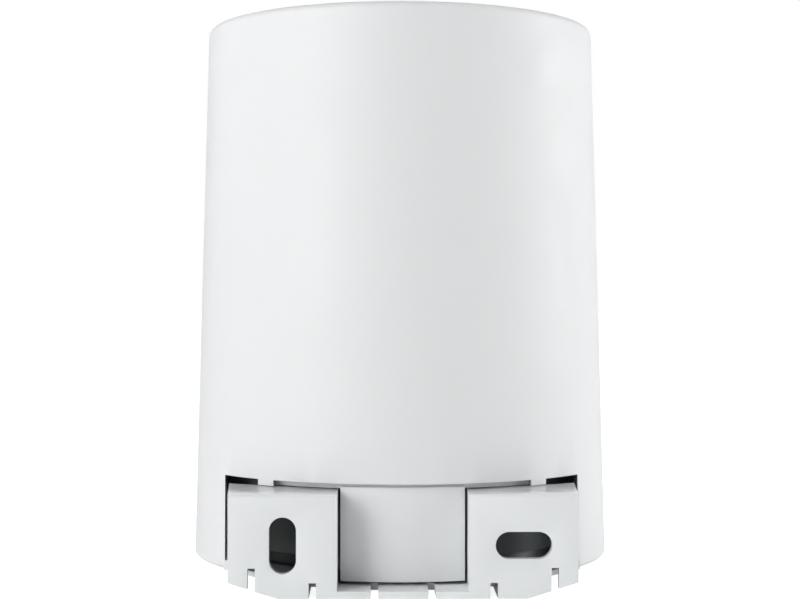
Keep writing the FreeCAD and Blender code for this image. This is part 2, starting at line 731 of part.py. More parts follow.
def bent_tube(points, radius):
    """A tube on straight runs joined by tangent arcs at the inner points."""
    legs = [b - a for a, b in zip(points, points[1:])]
    edges = []
    start = points[0]
    for corner, before, after in zip(points[1:], legs, legs[1:]):
        turn = before.getAngle(after)
        reach = 0.45 * min(before.Length, after.Length)
        unit_in, unit_out = V(before).normalize(), V(after).normalize()
        enter, leave = corner - unit_in * reach, corner + unit_out * reach
        bend = reach / math.tan(turn / 2)
        inward = (unit_out - unit_in).normalize()
        middle = corner + inward * (bend / math.cos(turn / 2) - bend)
        edges.append(Part.LineSegment(start, enter).toShape())
        edges.append(Part.Arc(enter, middle, leave).toShape())
        start = leave
    edges.append(Part.LineSegment(start, points[-1]).toShape())
    path = Part.Wire(edges)
    section = Part.Wire(Part.makeCircle(radius, points[0], legs[0]))
    return path.makePipeShell([section], True, False)


def motor_leads():
    """Two leads from the motor's end cap round the output shaft to the board's connector."""
    leads = []
    for offset in (0.0, 2.6):
        leads.append(
            bent_tube(
                [
                    V(-0.6 - offset, 14.0, CAP_TOP),
                    V(-0.6 - offset, 14.0, 69.0 + offset),
                    V(-6.4 - offset, 8.0, 73.0 + offset / 2),
                    V(-8.0 - offset, -1.0, 73.6),
                    V(-8.0 - offset, -10.5, 73.6),
                ],
                LEAD_RADIUS,
            )
        )
    return Part.makeCompound(leads)


def feedback_potentiometer():
    body = cylinder(6.0, MIDDLE_TOP, 42, FEEDBACK_AT)
    body = body.makeFillet(0.6, edges_at(body, 42)[:1])
    pin_x = [FEEDBACK_AT.x + step for step in (-3.6, -1.3, 1.0)]
    legs = [box(x - 0.3, x + 0.3, -7.4, -4.0, 38, 38.5) for x in pin_x]
    bore = cylinder(AXLE_RADIUS + RUNNING, MIDDLE_TOP, 36.5, FEEDBACK_AT)
    return fuse(body, *legs).cut(bore)


# Electronics


def circuit_board():
    return box(-BOARD_HALF, BOARD_HALF, BOARD_Y[0], BOARD_Y[1], *BOARD_Z)


def board_carrier():
    """Two grooved rails between the middle plate and the upper deck."""
    rails = []
    for side in (-1, 1):
        x0, x1 = sorted((side * (BOARD_HALF - 1), side * (BOARD_HALF + 2)))
        rail = box(x0, x1, BOARD_Y[0] - 1.3, BOARD_Y[1] + 1.3, MIDDLE_TOP, DECK_BOTTOM)
        rails.append(rail.cut(circuit_board()))
    return Part.makeCompound(rails)


def terminal_positions():
    return [TERMINAL_PITCH * (k - 2.5) for k in range(6)]


def terminal_block():
    """A six-way block, its wire funnels below and its screws towards the front."""
    y0, y1 = TERMINAL_Y
    z0, z1 = TERMINAL_Z
    side = [(y1, z0), (y0, z0), (y0, z1 - 3.5), (y0 + 3.0, z1), (y1, z1)]
    corners = [V(-TERMINAL_HALF, y, z) for y, z in side]
    body = Part.Face(Part.makePolygon(corners + corners[:1])).extrude(V(2 * TERMINAL_HALF, 0, 0))
    tools = []
    for x in terminal_positions():
        tools.append(rod_y(2.0, y0, y0 + 5.0, x, z0 + 5.0))
        tools.append(box(x - 1.8, x + 1.8, y0 + 2.2, y0 + 6.4, z0, z0 + 2.5))
    return cut(body, *tools)


def terminal_screws():
    screws = []
    for x in terminal_positions():
        y0, z = TERMINAL_Y[0], TERMINAL_Z[0] + 5.0
        head = rod_y(2.0, y0 + 1.4, y0 + 5.0, x, z)
        screws.append(head.cut(box(x - 2.0, x + 2.0, y0 + 1.4, y0 + 2.2, z - 0.3, z + 0.3)))
    return Part.makeCompound(screws)


def board_relays():
    relays = []
    for x in (-13.3, -4.6):
        case = box(x - 3.75, x + 3.75, -27.6, BOARD_Y[0], 53, 68)
        top = [e for e in case.Edges if e.BoundBox.YMax < -27.5]
        relays.append(case.makeChamfer(0.5, top))
    return Part.makeCompound(relays)


def board_capacitors():
    """Two upright electrolytic capacitors with a crimp groove round each."""
    parts = []
    for x in (5.4, 14.2):
        can = rod_y(4.0, -27.6, BOARD_Y[0], x, 57.5)
        crimp = rod_y(4.0, -20.4, -19.6, x, 57.5).cut(rod_y(3.7, -20.4, -19.6, x, 57.5))
        parts.append(can.cut(crimp))
    return Part.makeCompound(parts)


def board_chips():
    """Flat packages with gull-wing legs down both long sides."""
    parts = []
    for x, z, pins in ((10.0, 65.6, 7), (-12.5, 74.5, 4)):
        half = 0.7 * pins
        body = box(x - half, x + half, -19.4, -17.8, z - 2.0, z + 2.0)
        legs = []
        for k in range(pins):
            leg_x = x + 1.4 * (k - (pins - 1) / 2)
            legs.append(box(leg_x - 0.25, leg_x + 0.25, -18.4, BOARD_Y[0], z - 3.0, z + 3.0))
        parts.append(fuse(body, *legs))
    return Part.makeCompound(parts)


def motor_connector():
    """The lead socket on the back of the board."""
    shell = box(-13.2, -5.4, BOARD_Y[1], -10.5, 71.2, 76.0)
    return shell


def status_led():
    base = rod_y(1.9, -19.0, BOARD_Y[0], 0, LENS_HEIGHT)
    stem = rod_y(1.5, -21.5, -19.0, 0, LENS_HEIGHT)
    return fuse(base, stem, Part.makeSphere(1.5, V(0, -21.5, LENS_HEIGHT)))


def direction_switch_body():
    x, y, z = SWITCH.x, SWITCH.y, SWITCH.z
    body = box(x - SWITCH_HALF, x + SWITCH_HALF, y - 3.6, y, z - 2.0, z + 2.0)
    track = box(x - 2.2, x + 2.2, y - 3.6, y - 1.6, z - 0.9, z + 0.9)
    return body.cut(track)


def direction_slider():
    """The slider at the left end of its track."""
    x, y, z = SWITCH.x, SWITCH.y, SWITCH.z
    left, right = x - 2.1, x - 2.1 + (4.2 - SLIDER_STROKE)
    return box(left, right, y - 5.2, y - 1.8, z - 0.8, z + 0.8)


# Cable entry


def cable_entry_plate():
    """The plate that fills the cover's front notch, with a flat boss for the gland."""
    low = FLOOR
    high = ENTRY_TOP
    slab = cover_cone(0.3, COVER_FOOT, high).common(
        box(-ENTRY_HALF, ENTRY_HALF, -FOOT_RADIUS, ENTRY_INNER, COVER_FOOT, high)
    )
    foot = box(-ENTRY_HALF, ENTRY_HALF, -35.9, -32.8, low, low + 1.8)
    heel = box(-ENTRY_HALF, ENTRY_HALF, -35.9, ENTRY_INNER, low, high - 1)
    boss = rod_y(11.8, ENTRY_FACE, ENTRY_INNER, 0, GLAND_Z)
    return cut(fuse(slab, foot, heel, boss), rod_y(GLAND_THREAD + 0.3, -40, -30, 0, GLAND_Z))


def gland_body():
    flange = hexagon_y(GLAND_FLATS, ENTRY_FACE - 5.5, ENTRY_FACE, GLAND_Z)
    thread = rod_y(GLAND_THREAD, ENTRY_FACE, -30.6, 0, GLAND_Z)
    collet = rod_y(7.2, -50.5, ENTRY_FACE - 5.5, 0, GLAND_Z)
    body = fuse(flange, thread, collet)
    return cut(body, rod_y(GLAND_BORE, -45, -30, 0, GLAND_Z), rod_y(6.0, -51, -40, 0, GLAND_Z))


def gland_nut():
    hexagon = hexagon_y(GLAND_FLATS, -50.5, -44.9, GLAND_Z)
    dome = Part.makeCone(7.2, 9.4, 4.1, V(0, GLAND_END, GLAND_Z), V(0, 1, 0))
    return cut(
        fuse(hexagon, dome),
        rod_y(7.2, -50.5, -44.9, 0, GLAND_Z),
        rod_y(6.0, -52.0, -50.5, 0, GLAND_Z),
        rod_y(GLAND_BORE + 0.3, GLAND_END, -52.0, 0, GLAND_Z),
    )


def gland_seal():
    return rod_y(6.0, -52.0, -40.0, 0, GLAND_Z).cut(rod_y(GLAND_BORE, -52.0, -40.0, 0, GLAND_Z))


def gland_locknut():
    nut = hexagon_y(18.2, -34.6, -31.6, GLAND_Z)
    return nut.cut(rod_y(GLAND_THREAD, -34.6, -31.6, 0, GLAND_Z))


SUBPARTS = (
    cover_shell,
    rear_panel,
    dial_ring,
    led_lens,
    mounting_bracket,
    bracket_screws,
    base_plate,
    flange_inserts,
    lower_bush,
    gear_case,
    middle_plate,
    case_screws,
    gear_axles,
    support_pillars,
    upper_deck,
    deck_screws,
    upper_bush,
    output_shaft,
    output_gear,
    output_circlip,
    position_knob,
    pointer_inlay,
    second_pinion,
    second_wheel,
    first_pinion,
    first_wheel,
    clutch_sleeve,
    clutch_spring,
    motor_pinion,
    motor_shaft,
    motor_armature,
    motor_can,
    motor_magnets,
    motor_end_cap,
    motor_leads,
    feedback_gear,
    feedback_shaft,
    feedback_potentiometer,
    release_button,
    release_rod,
    release_yoke,
    release_spring,
    circuit_board,
    board_carrier,
    terminal_block,
    terminal_screws,
    board_relays,
    board_capacitors,
    board_chips,
    motor_connector,
    status_led,
    direction_switch_body,
    direction_slider,
    cable_entry_plate,
    gland_body,
    gland_nut,
    gland_seal,
    gland_locknut,
)


def main():
    os.makedirs("parts", exist_ok=True)
    for build in SUBPARTS:
        shape = build()
        if not shape.isValid():
            print("not valid:", build.__name__)
        shape.exportStep(os.path.join("parts", build.__name__ + ".step"))
        print(build.__name__, len(shape.Solids), round(shape.Volume, 1))


main()
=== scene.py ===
"""Looks of the motorised actuator head: materials, fine pieces, studio light and camera."""

import bpy
import itertools
import json
import math
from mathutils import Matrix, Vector


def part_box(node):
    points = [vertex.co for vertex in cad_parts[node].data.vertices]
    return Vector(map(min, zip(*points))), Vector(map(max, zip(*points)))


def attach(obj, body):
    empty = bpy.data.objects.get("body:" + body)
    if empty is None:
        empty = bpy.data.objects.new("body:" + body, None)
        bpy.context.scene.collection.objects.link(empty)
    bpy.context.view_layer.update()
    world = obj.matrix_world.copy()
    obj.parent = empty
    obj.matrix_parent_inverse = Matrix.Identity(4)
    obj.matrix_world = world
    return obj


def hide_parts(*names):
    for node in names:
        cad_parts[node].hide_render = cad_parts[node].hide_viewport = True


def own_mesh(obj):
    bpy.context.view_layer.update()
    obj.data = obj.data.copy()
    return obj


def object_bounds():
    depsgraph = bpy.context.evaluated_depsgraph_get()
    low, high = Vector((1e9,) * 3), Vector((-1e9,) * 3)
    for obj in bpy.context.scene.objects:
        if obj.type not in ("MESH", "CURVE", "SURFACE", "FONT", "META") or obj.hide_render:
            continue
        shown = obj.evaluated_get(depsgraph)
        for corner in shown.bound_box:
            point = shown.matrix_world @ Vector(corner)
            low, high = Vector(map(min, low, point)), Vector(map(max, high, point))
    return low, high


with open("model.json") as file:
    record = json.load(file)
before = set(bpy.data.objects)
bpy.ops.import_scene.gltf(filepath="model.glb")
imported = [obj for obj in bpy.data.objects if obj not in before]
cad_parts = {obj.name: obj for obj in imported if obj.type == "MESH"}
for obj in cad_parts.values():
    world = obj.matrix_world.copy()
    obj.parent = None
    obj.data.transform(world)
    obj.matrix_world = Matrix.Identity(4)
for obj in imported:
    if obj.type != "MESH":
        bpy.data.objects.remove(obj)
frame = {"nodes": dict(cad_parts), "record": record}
nodes = frame["nodes"]
cad_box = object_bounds()
MM = 0.001


# Material building


class Shader:
    """A Principled material whose patterns are all made by nodes in object space."""

    def __init__(self, name, roughness, metallic=0.0, **fixed):
        self.material = bpy.data.materials.new(name)
        self.material.use_nodes = True
        self.tree = self.material.node_tree
        self.bsdf = self.tree.nodes["Principled BSDF"]
        self.bsdf.inputs["Roughness"].default_value = roughness
        self.bsdf.inputs["Metallic"].default_value = metallic
        for socket, value in fixed.items():
            self.bsdf.inputs[socket.replace("_", " ")].default_value = value
        self.place = self.add("ShaderNodeTexCoord").outputs["Object"]

    def add(self, kind, **settings):
        node = self.tree.nodes.new(kind)
        for key, value in settings.items():
            setattr(node, key, value)
        return node

    def link(self, source, target):
        self.tree.links.new(source, target)

    def stretched(self, scale):
        """Object coordinates scaled by a different number along each axis."""
        node = self.add("ShaderNodeMapping")
        node.inputs["Scale"].default_value = scale
        self.link(self.place, node.inputs["Vector"])
        return node.outputs["Vector"]

    def noise(self, scale, detail=3.0, place=None):
        """Smooth random pattern, with about scale features to the metre."""
        node = self.add("ShaderNodeTexNoise")
        node.inputs["Scale"].default_value = scale
        node.inputs["Detail"].default_value = detail
        self.link(place or self.place, node.inputs["Vector"])
        return node.outputs["Fac"]

    def cells(self, scale, **settings):
        """Distance to the middles of random cells, with about scale cells to the metre."""
        node = self.add("ShaderNodeTexVoronoi", **settings)
        node.inputs["Scale"].default_value = scale
        self.link(self.place, node.inputs["Vector"])
        return node.outputs["Distance"]

    def spread(self, value, low, high, start=0.3, end=0.7):
        """Maps the pattern's values from start to end onto the numbers from low to high."""
        node = self.add("ShaderNodeMapRange")
        limits = {"From Min": start, "From Max": end, "To Min": low, "To Max": high}
        for name, number in limits.items():
            node.inputs[name].default_value = number
        self.link(value, node.inputs["Value"])
        return node.outputs["Result"]

    def mix(self, factor, first, second):
        """Mixes two colours, each given as numbers or as a socket, by the socket factor."""
        node = self.add("ShaderNodeMix", data_type="RGBA")
        self.link(factor, node.inputs["Factor"])
        inputs = [s for s in node.inputs if s.type == "RGBA"]
        for socket, colour in zip(inputs, (first, second)):
            if isinstance(colour, tuple):
                socket.default_value = (*colour, 1.0)
            else:
                self.link(colour, socket)
        return [s for s in node.outputs if s.type == "RGBA"][0]

    def colour(self, value):
        self.link(value, self.bsdf.inputs["Base Color"])

    def roughness(self, value):
        self.link(value, self.bsdf.inputs["Roughness"])

    def bump(self, height, depth):
        """Relief of a depth in metres."""
        node = self.add("ShaderNodeBump")
        node.inputs["Strength"].default_value = 1.0
        node.inputs["Distance"].default_value = depth
        self.link(height, node.inputs["Height"])
        self.link(node.outputs["Normal"], self.bsdf.inputs["Normal"])


def shade(colour, factor):
    """The colour made darker by a factor."""
    return tuple(c * factor for c in colour)


def lift(colour, step):
    """The colour made lighter by a step."""
    return tuple(c + step for c in colour)


def plastic(name, colour, roughness, grain=900.0, depth=0.012, variation=0.03, **fixed):
    """Moulded plastic: a fine eroded grain, slow flow marks and uneven gloss."""
    shader = Shader(name, roughness, **fixed)
    flow = shader.noise(45.0, 2.0, shader.stretched((1.0, 1.0, 0.35)))
    speck = shader.noise(grain * 1.7, 2.0)
    base = shader.mix(shader.spread(flow, 0.0, 1.0), shade(colour, 1 - variation), colour)
    specks = shade(colour, 1 - 1.6 * variation)
    shader.colour(shader.mix(shader.spread(speck, 0.0, 0.35), base, specks))
    shader.roughness(shader.spread(shader.noise(160.0, 4.0), roughness * 0.85, roughness * 1.15))
    shader.bump(shader.noise(grain, 4.0), depth * MM)
    return shader.material


def ground_steel(name, colour, roughness, lines=(60.0, 60.0, 5200.0)):
    """Turned or ground bar: fine marks that run round it."""
    shader = Shader(name, roughness, metallic=1.0)
    marks = shader.noise(1.0, 4.0, shader.stretched(lines))
    haze = shader.noise(220.0, 3.0)
    shader.colour(shader.mix(shader.spread(haze, 0.0, 1.0), shade(colour, 0.95), colour))
    shader.roughness(shader.spread(marks, roughness * 0.85, roughness * 1.2))
    shader.bump(marks, 0.0015 * MM)
    return shader.material


def plated_sheet(name, colour, roughness):
    """Zinc-plated sheet: soft crystals of slightly different grey."""
    shader = Shader(name, roughness, metallic=1.0)
    crystals = shader.cells(420.0)
    haze = shader.noise(90.0, 4.0)
    base = shader.mix(shader.spread(crystals, 0.0, 1.0, 0.0, 0.9), shade(colour, 0.95), colour)
    shader.colour(shader.mix(shader.spread(haze, 0.0, 0.15), base, (0.50, 0.50, 0.44)))
    shader.roughness(shader.spread(crystals, roughness * 0.95, roughness * 1.08, 0.0, 0.9))
    shader.bump(shader.noise(1500.0, 3.0), 0.003 * MM)
    return shader.material


def sintered(name, colour, roughness):
    """Pressed and sintered metal: a matt surface with small open pores, with painted shade inside the
    pores.
    """
    shader = Shader(name, roughness, metallic=1.0)
    pores = shader.cells(2600.0)
    haze = shader.noise(240.0, 4.0)
    base = shader.mix(shader.spread(haze, 0.0, 1.0), shade(colour, 0.8), colour)
    # The pores are coloured darker: painted shade inside the open pores
    shader.colour(shader.mix(shader.spread(pores, 0.7, 0.0, 0.05, 0.3), base, shade(colour, 0.35)))
    shader.roughness(shader.spread(haze, roughness * 0.85, roughness * 1.15))
    shader.bump(pores, 0.012 * MM)
    return shader.material


def rubber(name, colour):
    """Matt rubber with a little dust in its grain."""
    shader = Shader(name, 0.75)
    dust = shader.noise(500.0, 5.0)
    shader.colour(shader.mix(shader.spread(dust, 0.0, 1.0), colour, lift(colour, 0.02)))
    shader.roughness(shader.spread(dust, 0.65, 0.85))
    shader.bump(shader.noise(1800.0, 3.0), 0.01 * MM)
    return shader.material


def printed_dial(name, colour, ink, ink_height):
    """Dial plastic whose raised marks are printed in a dark ink."""
    shader = Shader(name, 0.4)
    split = shader.add("ShaderNodeSeparateXYZ")
    shader.link(shader.place, split.inputs["Vector"])
    inked = shader.add("ShaderNodeMath", operation="GREATER_THAN")
    shader.link(split.outputs["Z"], inked.inputs[0])
    inked.inputs[1].default_value = ink_height
    flow = shader.spread(shader.noise(120.0), 0.0, 1.0)
    base = shader.mix(flow, shade(colour, 0.96), colour)
    shader.colour(shader.mix(inked.outputs["Value"], base, ink))
    shader.roughness(shader.spread(shader.noise(300.0, 4.0), 0.34, 0.46))
    shader.bump(shader.noise(1100.0, 3.0), 0.01 * MM)
    return shader.material


def solder_mask(name):
    """Green board with copper tracks that show lighter under the mask."""
    shader = Shader(name, 0.3, Coat_Weight=0.3)
    second = shader.cells(260.0, feature="F2", distance="CHEBYCHEV")
    nearest = shader.cells(260.0, feature="F1", distance="CHEBYCHEV")
    gap = shader.add("ShaderNodeMath", operation="SUBTRACT")
    shader.link(second, gap.inputs[0])
    shader.link(nearest, gap.inputs[1])
    line = shader.spread(gap.outputs["Value"], 1.0, 0.0, 0.06, 0.10)
    weave = shader.noise(1400.0, 2.0)
    base = shader.mix(shader.spread(weave, 0.0, 1.0), (0.012, 0.10, 0.045), (0.016, 0.13, 0.06))
    shader.colour(shader.mix(line, base, (0.05, 0.26, 0.11)))
    shader.roughness(shader.spread(weave, 0.26, 0.36))
    shader.bump(line, 0.03 * MM)
    return shader.material


def clear_plastic(name, tint):
    """Tinted clear plastic, slightly cloudy."""
    shader = Shader(name, 0.12, Transmission_Weight=0.85, IOR=1.5)
    clouds = shader.spread(shader.noise(400.0), 0.0, 1.0)
    shader.colour(shader.mix(clouds, tint, shade(tint, 0.93)))
    shader.roughness(shader.spread(shader.noise(700.0, 4.0), 0.08, 0.18))
    return shader.material


def glossy_sleeve(name, colour):
    """Shrink sleeve on a capacitor: glossy, with faint lengthwise drag lines."""
    shader = Shader(name, 0.22)
    drag = shader.noise(1.0, 3.0, shader.stretched((1800.0, 60.0, 1800.0)))
    shader.colour(shader.mix(shader.spread(drag, 0.0, 1.0), colour, lift(colour, 0.015)))
    shader.roughness(shader.spread(drag, 0.16, 0.3))
    shader.bump(drag, 0.006 * MM)
    return shader.material


COVER_WHITE = (0.765, 0.775, 0.782)
BRACKET_GREY = (0.79, 0.81, 0.82)
DARK_GREY = (0.068, 0.079, 0.082)

# Ink on the marks that stand higher than this, in millimetres
INK = (0.03, 0.03, 0.035)
INK_HEIGHT = 98.15

MATERIALS = {
    "cover_white": plastic("cover_white", COVER_WHITE, 0.5, variation=0.012),
    "bracket_grey": plastic("bracket_grey", BRACKET_GREY, 0.2, depth=0.003, variation=0.012),
    "dark_grey": plastic("dark_grey", DARK_GREY, 0.42, depth=0.008),
    "gland_grey": plastic("gland_grey", (0.34, 0.36, 0.37), 0.42, depth=0.02),
    "rubber": rubber("rubber", (0.025, 0.025, 0.025)),
    "knob_grey": plastic("knob_grey", (0.075, 0.08, 0.085), 0.38, depth=0.02),
    "dial_grey": printed_dial("dial_grey", (0.62, 0.63, 0.64), INK, INK_HEIGHT * MM),
    "pointer_orange": plastic("pointer_orange", (0.72, 0.14, 0.015), 0.35),
    "lens_clear": clear_plastic("lens_clear", (0.78, 0.93, 0.80)),
    "zinc_steel": plated_sheet("zinc_steel", (0.62, 0.63, 0.64), 0.34),
    "bright_steel": ground_steel("bright_steel", (0.60, 0.60, 0.61), 0.24),
    "sintered_steel": sintered("sintered_steel", (0.30, 0.30, 0.31), 0.45),
    "brass": ground_steel("brass", (0.78, 0.57, 0.24), 0.26),
    "bronze": sintered("bronze", (0.52, 0.33, 0.17), 0.42),
    "white_nylon": plastic("white_nylon", (0.76, 0.74, 0.67), 0.36),
    "motor_steel": plated_sheet("motor_steel", (0.55, 0.55, 0.56), 0.28),
    "magnet": plastic("magnet", (0.03, 0.03, 0.032), 0.5, depth=0.03),
    "lamination": ground_steel("lamination", (0.36, 0.34, 0.32), 0.4, (40.0, 40.0, 2000.0)),
    "black_plastic": plastic("black_plastic", (0.016, 0.017, 0.018), 0.42, depth=0.02),
    "component_blue": plastic("component_blue", (0.02, 0.07, 0.24), 0.34),
    "component_black": plastic("component_black", (0.014, 0.014, 0.015), 0.48, depth=0.03),
    "board_green": solder_mask("board_green"),
    "terminal_green": plastic("terminal_green", (0.035, 0.25, 0.075), 0.38),
    "capacitor": glossy_sleeve("capacitor", (0.012, 0.016, 0.045)),
    "led_green": clear_plastic("led_green", (0.20, 0.75, 0.25)),
    "lead_red": plastic("lead_red", (0.42, 0.012, 0.010), 0.4),
    "lead_black": plastic("lead_black", (0.012, 0.012, 0.013), 0.4),
    "solder": ground_steel("solder", (0.66, 0.66, 0.67), 0.3),
    "ceramic_tan": plastic("ceramic_tan", (0.42, 0.30, 0.17), 0.4),
}
MATERIALS["lead_cover"] = MATERIALS["lead_red"]


def paint_nodes():
    """Gives every CAD node the material of its slot in the record."""
    for part in frame["record"]["subparts"]:
        mesh = nodes[part["node"]].data
        mesh.materials.clear()
        mesh.materials.append(MATERIALS[part["material_slot"]])


# Edges and shading

# Angles in degrees, distance in millimetres
SMOOTH_ANGLE = 32
BEVEL_ANGLE = 40
BEVEL_SEGMENTS = 2
WELD_DISTANCE = 0.001


def smooth_by_angle():
    """A geometry node group that shades smooth, apart from edges sharper than SMOOTH_ANGLE degrees."""
    group = bpy.data.node_groups.new("smooth_by_angle", "GeometryNodeTree")
    for name, direction in (("Geometry", "INPUT"), ("Geometry", "OUTPUT")):
        group.interface.new_socket(name, in_out=direction, socket_type="NodeSocketGeometry")
    start = group.nodes.new("NodeGroupInput")
    end = group.nodes.new("NodeGroupOutput")
    faces = group.nodes.new("GeometryNodeSetShadeSmooth")
    edges = group.nodes.new("GeometryNodeSetShadeSmooth")
    edges.domain = "EDGE"
    edges.inputs["Shade Smooth"].default_value = False
    angle = group.nodes.new("GeometryNodeInputMeshEdgeAngle")
    sharp = group.nodes.new("FunctionNodeCompare")
    sharp.operation = "GREATER_THAN"
    sharp.inputs["B"].default_value = math.radians(SMOOTH_ANGLE)
    group.links.new(angle.outputs["Unsigned Angle"], sharp.inputs["A"])
    group.links.new(sharp.outputs["Result"], edges.inputs["Selection"])
    group.links.new(start.outputs["Geometry"], faces.inputs["Geometry"])
    group.links.new(faces.outputs["Geometry"], edges.inputs["Geometry"])
    group.links.new(edges.outputs["Geometry"], end.inputs["Geometry"])
    return group


SMOOTH = smooth_by_angle()


def round_edges(obj, width):
    """Welds the faces together, rounds the sharp edges by a width in millimetres and shades them."""
    normals = obj.data.attributes.get("custom_normal")
    if normals:
        obj.data.attributes.remove(normals)
    weld = obj.modifiers.new("weld", "WELD")
    weld.merge_threshold = WELD_DISTANCE * MM
    if width:
        bevel = obj.modifiers.new("bevel", "BEVEL")
        bevel.width = width * MM
        bevel.segments = BEVEL_SEGMENTS
        bevel.limit_method = "ANGLE"
        bevel.angle_limit = math.radians(BEVEL_ANGLE)
        bevel.use_clamp_overlap = True
        bevel.harden_normals = False
    shading = obj.modifiers.new("shading", "NODES")
    shading.node_group = SMOOTH


# How far the sharp edges of a node are rounded, in millimetres
EDGE_WIDTHS = {
    "cover_shell": 0.3,
    "rear_panel": 0.15,
    "mounting_bracket": 0.25,
    "cable_entry_plate": 0.25,
    "gland_body": 0.3,
    "gland_nut": 0.4,
    "gland_locknut": 0.3,
    "position_knob": 0.2,
    "release_button": 0.1,
    "base_plate": 0.2,
    "gear_case": 0.45,
    "middle_plate": 0.15,
    "upper_deck": 0.25,
    "support_pillars": 0.2,
    "motor_end_cap": 0.2,
    "feedback_potentiometer": 0.15,
    "circuit_board": 0.05,
    "board_carrier": 0.2,
    "terminal_block": 0.2,
    "board_relays": 0.2,
    "board_capacitors": 0.4,
    "board_chips": 0.08,
    "motor_connector": 0.2,
    "direction_switch_body": 0.1,
    "direction_slider": 0.1,
    "output_shaft": 0.15,
    "lower_bush": 0.1,
    "upper_bush": 0.1,
    "release_yoke": 0.15,
    "motor_can": 0.1,
}


def finish_nodes():
    """Rounds and shades every CAD node."""
    for name, node in nodes.items():
        round_edges(node, EDGE_WIDTHS.get(name, 0.0))


# Pieces that are added, or stand for a plain CAD solid


def drawn_mesh(name, data):
    """The mesh that a curve or a text draws."""
    scene = bpy.context.scene
    drawn = bpy.data.objects.new(name + "_drawn", data)
    scene.collection.objects.link(drawn)
    bpy.context.view_layer.update()
    mesh = bpy.data.meshes.new_from_object(drawn.evaluated_get(bpy.context.evaluated_depsgraph_get()))
    mesh.name = name
    bpy.data.objects.remove(drawn)
    return mesh


def show(name, mesh, material):
    """Puts a mesh in the scene as a piece of one material."""
    piece = bpy.data.objects.new(name, mesh)
    bpy.context.scene.collection.objects.link(piece)
    mesh.materials.clear()
    mesh.materials.append(MATERIALS[material])
    return piece


def tube(name, points, radius, material, sides=8):
    """A round tube along a smooth curve, as a mesh."""
    curve = bpy.data.curves.new(name, "CURVE")
    curve.dimensions = "3D"
    spline = curve.splines.new("NURBS")
    spline.points.add(len(points) - 1)
    for point, at in zip(spline.points, points):
        point.co = (*at, 1.0)
    spline.order_u = 4
    spline.use_endpoint_u = True
    curve.resolution_u = 6
    curve.bevel_depth = radius
    curve.bevel_resolution = sides // 2 - 1
    curve.use_fill_caps = True
    mesh = drawn_mesh(name, curve)
    for face in mesh.polygons:
        face.use_smooth = True
    return show(name, mesh, material)


def coil_points(centre, radius, low, high, turns, per_turn=16):
    """A helix whose first and last turns lie flat, as on a ground spring."""
    count = int(turns * per_turn)
    points = []
    for k in range(count + 1):
        share = k / count
        rise = min(1.0, max(0.0, (share * turns - 1) / (turns - 2)))
        angle = 2 * math.pi * share * turns
        points.append(centre + Vector((radius * math.cos(angle), radius * math.sin(angle), 0)))
        points[-1].z = low + rise * (high - low)
    return points


# In millimetres
WIRE_RADIUS = 0.3


def spring(node, turns):
    """Coils in place of a spring's plain solid."""
    low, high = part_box(node)
    wire = WIRE_RADIUS * MM
    outer = (high.x - low.x) / 2
    centre = Vector(((low.x + high.x) / 2, (low.y + high.y) / 2, 0))
    points = coil_points(centre, outer - wire, low.z + wire, high.z - wire, turns)
    piece = tube(node + "_coil", points, wire, "bright_steel")
    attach(piece, "base")
    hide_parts(node)
    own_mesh(piece)


# In millimetres; the offset keeps the second lead beside the first
LEAD_RADIUS = 0.6
LEAD_OFFSETS = {"lead_red": 0.0, "lead_black": 2.6}


def motor_leads():
    """The red and black leads, each one smooth curve from the motor to the connector."""
    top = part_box("motor_end_cap")[1].z
    for colour, offset in LEAD_OFFSETS.items():
        route = (
            (-0.6 - offset, 14.0, top / MM),
            (-0.6 - offset, 14.0, 67.0 + offset),
            (-1.6 - offset, 13.2, 71.0 + offset),
            (-6.4 - offset, 8.0, 73.0 + offset / 2),
            (-8.0 - offset, -1.0, 73.6),
            (-8.0 - offset, -10.5, 73.6),
        )
        points = [Vector(p) * MM for p in route]
        piece = tube("motor_" + colour, points, LEAD_RADIUS * MM, colour, sides=12)
        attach(piece, "base")
        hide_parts("motor_leads")


def mesh_piece(name, vertices, faces, material, body):
    """A piece made from vertices in metres, riding on a body."""
    mesh = bpy.data.meshes.new(name)
    mesh.from_pydata(vertices, [], faces)
    mesh.validate()
    piece = show(name, mesh, material)
    bpy.context.view_layer.update()
    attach(piece, body)
    return piece


BOX_FACES = ((0, 2, 3, 1), (4, 5, 7, 6), (0, 1, 5, 4), (2, 6, 7, 3), (0, 4, 6, 2), (1, 3, 7, 5))


def boxes(name, spans, material, rounding):
    """One piece made of many boxes; each span is the low and the high corner in millimetres."""
    vertices, faces = [], []
    for low, high in spans:
        first = len(vertices)
        corners = itertools.product(*zip(low, high))
        vertices += [Vector(corner) * MM for corner in corners]
        faces += [tuple(first + k for k in face) for face in BOX_FACES]
    piece = mesh_piece(name, vertices, faces, material, "base")
    round_edges(piece, rounding)


BOARD_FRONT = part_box("circuit_board")[0].y / MM
BOARD_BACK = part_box("circuit_board")[1].y / MM

# Where each chip stands on the board, across and up, and whether it lies level
CHIP_RESISTORS = (
    *((x, 79.8, True) for x in (-16.2, -13.2, -10.2, 6.4, 9.4, 12.4, 15.4)),
    *((-6.6, z, False) for z in (71.0, 74.2)),
    *((17.8, z, False) for z in (66.0, 69.4, 72.8)),
)
CHIP_CAPACITORS = (
    *((x, 51.5, True) for x in (-15.0, -9.0, -3.0, 3.0, 9.0, 15.0)),
    *((2.2, z, False) for z in (63.4, 66.8, 70.2)),
)

# Sizes of one chip and of its tinned ends, in millimetres
CHIP_HALF_LENGTH = 1.0
CHIP_HALF_WIDTH = 0.6
CHIP_END = 0.3
CHIP_END_HALF = 0.17
CHIP_END_PROUD = 0.03
CHIP_ROUND = 0.05


